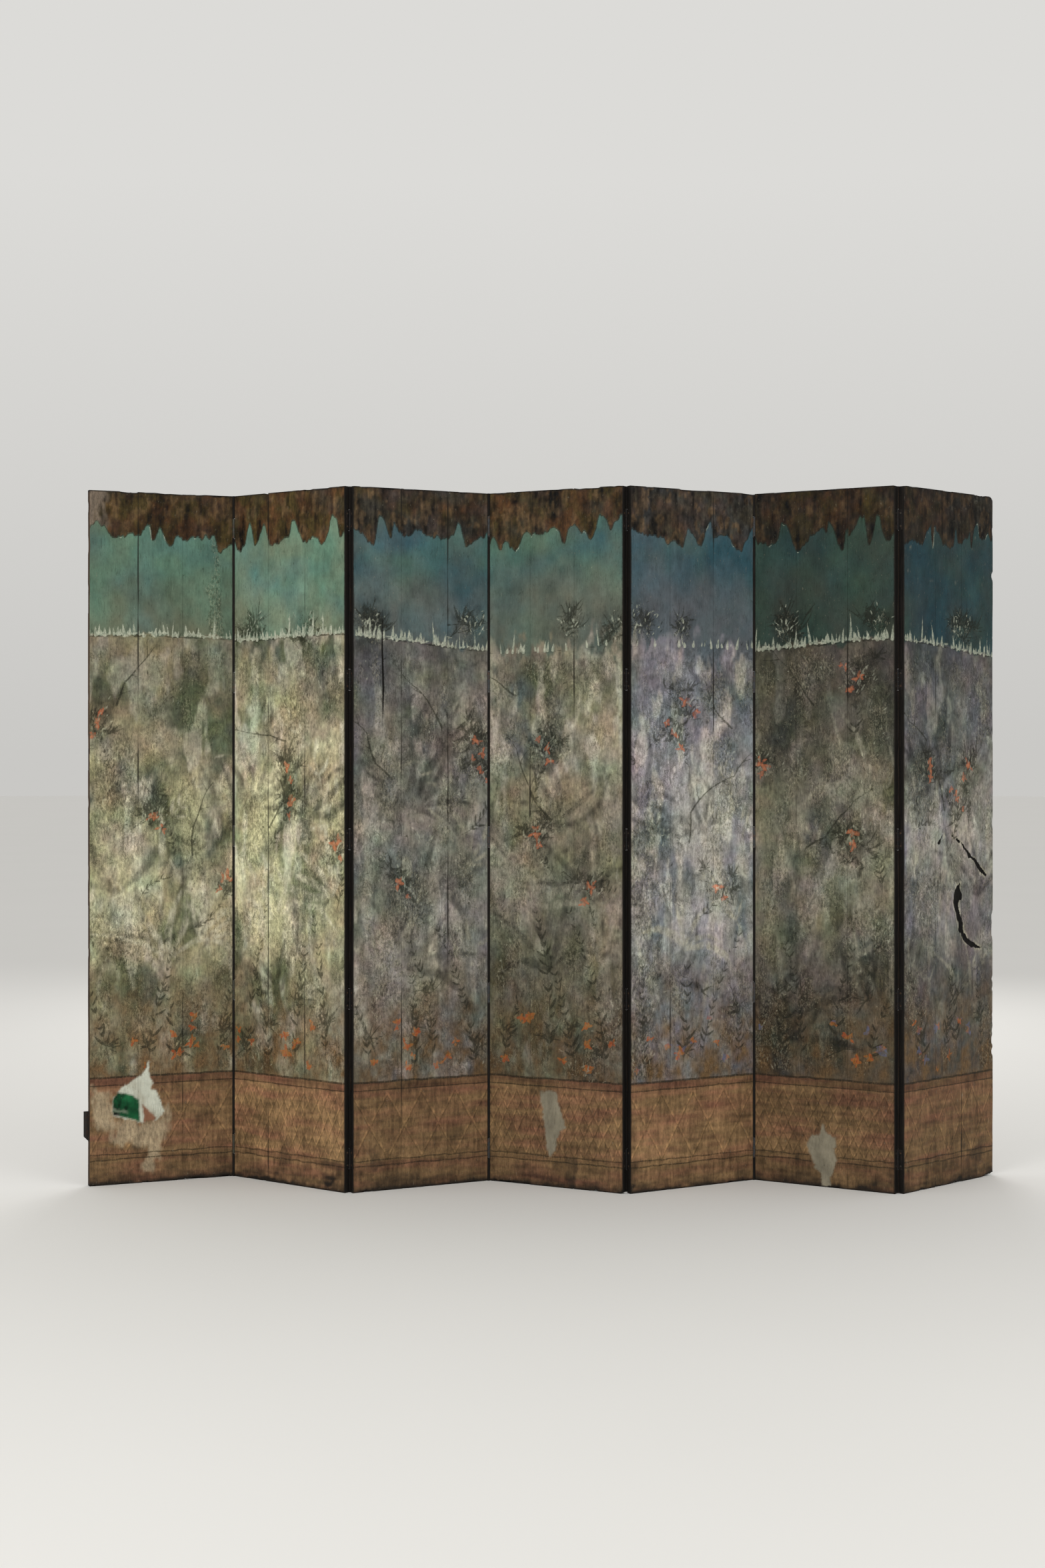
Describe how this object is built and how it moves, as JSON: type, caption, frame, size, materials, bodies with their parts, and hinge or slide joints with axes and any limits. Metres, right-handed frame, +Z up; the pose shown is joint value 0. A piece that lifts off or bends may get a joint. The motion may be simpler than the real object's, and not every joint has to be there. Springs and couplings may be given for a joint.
{
  "type": "folding screen",
  "caption": "Tall room screen of painted boarded panels that stand in a zigzag on butt hinges and fold flat against each other.",
  "frame": {"origin": "on the floor, under the middle of the outline of the standing screen", "axes": "+X to the right along the screen as seen from its painted front, +Y away from the viewer towards the back, +Z up"},
  "size_m": [2.7866, 0.319, 2.1],
  "materials": {
    "painted_board": "aged, crackled and worn paint over wood on the front, bare dark wood on the back",
    "batten_wood": "bare, darkened with age",
    "hinge_iron": "dark, dull, traces of paint",
    "pin_iron": "dark, dull",
    "screw_steel": "dulled and browned",
    "cleat_iron": "black, rusted"
  },
  "bodies": {
    "panel_1": {"panel_1_left_board": "painted_board", "panel_1_middle_board": "painted_board", "panel_1_right_board": "painted_board", "panel_1_battens": "batten_wood", "panel_1_screws": "screw_steel", "fold_1_left_leaves": "hinge_iron", "fold_1_pins": "pin_iron", "edge_cleat": "cleat_iron"},
    "panel_2": {"panel_2_left_board": "painted_board", "panel_2_middle_board": "painted_board", "panel_2_right_board": "painted_board", "panel_2_battens": "batten_wood", "panel_2_screws": "screw_steel", "fold_1_right_leaves": "hinge_iron", "fold_2_left_leaves": "hinge_iron", "fold_2_pins": "pin_iron"},
    "panel_3": {"panel_3_left_board": "painted_board", "panel_3_middle_board": "painted_board", "panel_3_right_board": "painted_board", "panel_3_battens": "batten_wood", "panel_3_screws": "screw_steel", "fold_2_right_leaves": "hinge_iron", "fold_3_left_leaves": "hinge_iron", "fold_3_pins": "pin_iron"},
    "panel_4": {"panel_4_left_board": "painted_board", "panel_4_middle_board": "painted_board", "panel_4_right_board": "painted_board", "panel_4_battens": "batten_wood", "panel_4_screws": "screw_steel", "fold_3_right_leaves": "hinge_iron", "fold_4_left_leaves": "hinge_iron", "fold_4_pins": "pin_iron"},
    "panel_5": {"panel_5_left_board": "painted_board", "panel_5_middle_board": "painted_board", "panel_5_right_board": "painted_board", "panel_5_battens": "batten_wood", "panel_5_screws": "screw_steel", "fold_4_right_leaves": "hinge_iron", "fold_5_left_leaves": "hinge_iron", "fold_5_pins": "pin_iron"},
    "panel_6": {"panel_6_left_board": "painted_board", "panel_6_middle_board": "painted_board", "panel_6_right_board": "painted_board", "panel_6_battens": "batten_wood", "panel_6_screws": "screw_steel", "fold_5_right_leaves": "hinge_iron", "fold_6_left_leaves": "hinge_iron", "fold_6_pins": "pin_iron"},
    "panel_7": {"panel_7_left_board": "painted_board", "panel_7_middle_board": "painted_board", "panel_7_right_board": "painted_board", "panel_7_battens": "batten_wood", "panel_7_screws": "screw_steel", "fold_6_right_leaves": "hinge_iron"}
  },
  "joints": [
    {"name": "fold_4_hinge", "type": "hinge", "parent": "panel_4", "child": "panel_5", "pos_m": [0.23925, -0.13676, 1.05], "axis": [0, 0, 1], "range_deg": [-56.5, 123.5]},
    {"name": "fold_5_hinge", "type": "hinge", "parent": "panel_5", "child": "panel_6", "pos_m": [0.64301, 0.06098, 1.05], "axis": [0, 0, -1], "range_deg": [-58.5, 121.5]},
    {"name": "fold_6_hinge", "type": "hinge", "parent": "panel_6", "child": "panel_7", "pos_m": [1.04502, -0.14028, 1.05], "axis": [0, 0, 1], "range_deg": [-71.5, 108.5]},
    {"name": "fold_3_hinge", "type": "hinge", "parent": "panel_4", "child": "panel_3", "pos_m": [-0.16955, 0.05034, 1.05], "axis": [0, 0, 1], "range_deg": [-53.5, 126.5]},
    {"name": "fold_2_hinge", "type": "hinge", "parent": "panel_3", "child": "panel_2", "pos_m": [-0.5831, -0.126, 1.05], "axis": [0, 0, -1], "range_deg": [-62.5, 117.5]},
    {"name": "fold_1_hinge", "type": "hinge", "parent": "panel_2", "child": "panel_1", "pos_m": [-0.9576, 0.12275, 1.05], "axis": [0, 0, 1], "range_deg": [-58.5, 121.5]}
  ]
}
